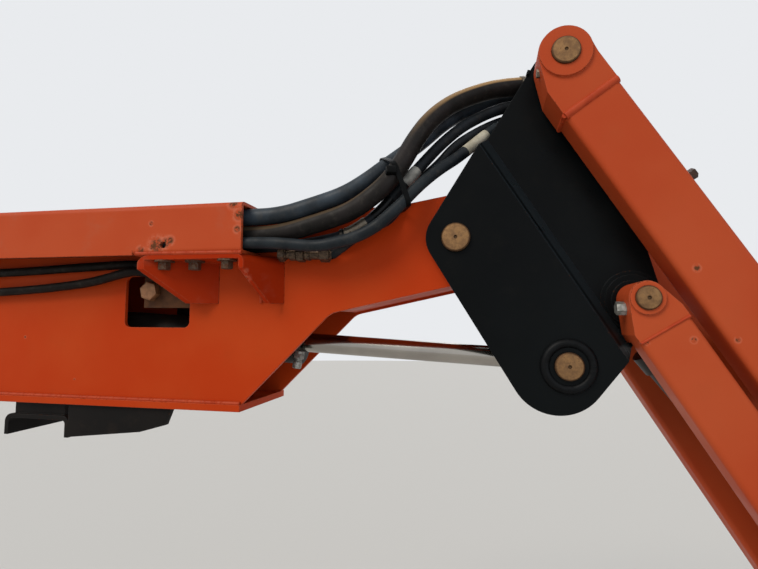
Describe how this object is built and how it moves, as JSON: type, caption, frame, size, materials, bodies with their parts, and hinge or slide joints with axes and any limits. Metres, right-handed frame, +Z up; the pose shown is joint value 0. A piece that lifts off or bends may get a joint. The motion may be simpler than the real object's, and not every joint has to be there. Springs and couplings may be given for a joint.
{
  "type": "boom lift jib knuckle assembly",
  "caption": "Elbow of an articulating boom lift: boom end with hose channel, levelled knuckle bracket, and a parallel jib with lift cylinder out to the platform bracket.",
  "frame": {"origin": "centre of the boom section's rear face, where the rest of the boom carries on", "axes": "+X along the boom towards the jib, +Z up and square to the boom, +Y to the left"},
  "size_m": [1.7604, 0.2545, 1.4197],
  "materials": {
    "orange_paint": "semi-gloss spray paint, lightly weathered",
    "black_paint": "semi-gloss black spray paint",
    "pin_steel": "yellow-zinc steel, end faces with light rust",
    "chrome_rod": "hard chrome, polished",
    "grey_barrel": "dark grey spray paint",
    "dark_steel": "dark steel with thin oil film",
    "hose_rubber": "wrapped black hydraulic hose cover",
    "sun_hose": "hose cover faded brown by the sun",
    "fitting_zinc": "zinc-plated steel fittings under dust",
    "clamp_plastic": "moulded clamp block, dusty"
  },
  "bodies": {
    "boom": {"boom_side_right": "orange_paint", "boom_side_left": "orange_paint", "boom_top_plate": "orange_paint", "boom_bottom_plate": "orange_paint", "nose_bottom_plate": "orange_paint", "boom_rear_plate": "orange_paint", "nose_bushing": "orange_paint", "hose_channel": "orange_paint", "channel_end_plate": "orange_paint", "channel_shelf": "orange_paint", "hose_clamp_block": "clamp_plastic", "boom_rest_bracket": "black_paint", "level_rear_pin": "pin_steel", "side_hose_clamp": "clamp_plastic", "side_hose_elbows": "fitting_zinc", "hose_adapter": "fitting_zinc", "cable_tie": "hose_rubber", "side_hose_1": "hose_rubber", "side_hose_2": "hose_rubber", "hose_1": "sun_hose", "hose_2": "hose_rubber", "hose_3": "hose_rubber", "hose_4": "hose_rubber", "hose_5": "hose_rubber"},
    "knuckle": {"knuckle_side_right": "black_paint", "knuckle_side_left": "black_paint", "knuckle_web": "black_paint", "hose_bulkhead": "black_paint", "main_pivot_pin": "pin_steel", "cylinder_pin_ends": "pin_steel"},
    "level_barrel": {"level_barrel": "grey_barrel", "level_gland": "grey_barrel"},
    "level_rod": {"level_rod": "chrome_rod", "level_rod_eye": "dark_steel"},
    "upper_arm": {"upper_arm_right": "orange_paint", "upper_arm_left": "orange_paint", "upper_cross_plate": "orange_paint", "jib_pin": "pin_steel", "jib_outer_pin": "pin_steel", "jib_barrel_pin": "pin_steel"},
    "lower_link": {"lower_link_right": "orange_paint", "lower_link_left": "orange_paint", "lower_cross_plate": "orange_paint", "link_pin_ends": "pin_steel", "link_outer_pin": "pin_steel"},
    "jib_barrel": {"jib_barrel": "grey_barrel", "jib_gland": "grey_barrel"},
    "jib_rod": {"jib_rod": "chrome_rod", "jib_rod_eye": "dark_steel"},
    "platform_bracket": {"platform_side_right": "orange_paint", "platform_side_left": "orange_paint", "platform_face_plate": "orange_paint", "platform_web": "orange_paint"}
  },
  "joints": [
    {"name": "knuckle_pivot", "type": "hinge", "parent": "boom", "child": "knuckle", "pos_m": [0.8, 0, 0.0975], "axis": [0, 1, 0], "range_deg": [-5, 85], "deforming": ["hose_1", "hose_2", "hose_3", "hose_4", "hose_5"]},
    {"name": "level_barrel_swing", "type": "hinge", "parent": "boom", "child": "level_barrel", "pos_m": [0.12, 0, -0.0235], "axis": [0, 1, 0], "range_deg": [-5, 5]},
    {"name": "level_rod_slide", "type": "slide", "parent": "level_barrel", "child": "level_rod", "axis": [0.9985, 0, -0.055], "range_m": [-0.3, 0.025]},
    {"name": "jib_upper_pivot", "type": "hinge", "parent": "knuckle", "child": "upper_arm", "pos_m": [0.9384, 0, 0.3229], "axis": [0, -1, 0], "range_deg": [0, 130]},
    {"name": "jib_lower_pivot", "type": "hinge", "parent": "knuckle", "child": "lower_link", "pos_m": [1.023, 0, 0.0152], "axis": [0, -1, 0], "range_deg": [-1, 131]},
    {"name": "jib_barrel_swing", "type": "hinge", "parent": "upper_arm", "child": "jib_barrel", "pos_m": [1.49017, 0, -0.5822], "axis": [0, -1, 0], "range_deg": [-5, 5]},
    {"name": "jib_rod_slide", "type": "slide", "parent": "jib_barrel", "child": "jib_rod", "axis": [-0.616, 0, 0.7877], "range_m": [-0.005, 0.59]},
    {"name": "platform_pivot", "type": "hinge", "parent": "upper_arm", "child": "platform_bracket", "pos_m": [1.58076, 0, -0.71312], "axis": [0, -1, 0], "range_deg": [-131, 1]}
  ],
  "couplings": [
    {"joint": "level_barrel_swing", "follows": "knuckle_pivot", "ratio": 0.003235},
    {"joint": "level_rod_slide", "follows": "knuckle_pivot", "m_per_rad": -0.19702},
    {"joint": "jib_lower_pivot", "follows": "jib_upper_pivot", "ratio": 1},
    {"joint": "jib_barrel_swing", "follows": "jib_upper_pivot", "ratio": 0.007813},
    {"joint": "jib_rod_slide", "follows": "jib_upper_pivot", "m_per_rad": 0.25482},
    {"joint": "platform_pivot", "follows": "jib_upper_pivot", "ratio": -1}
  ]
}
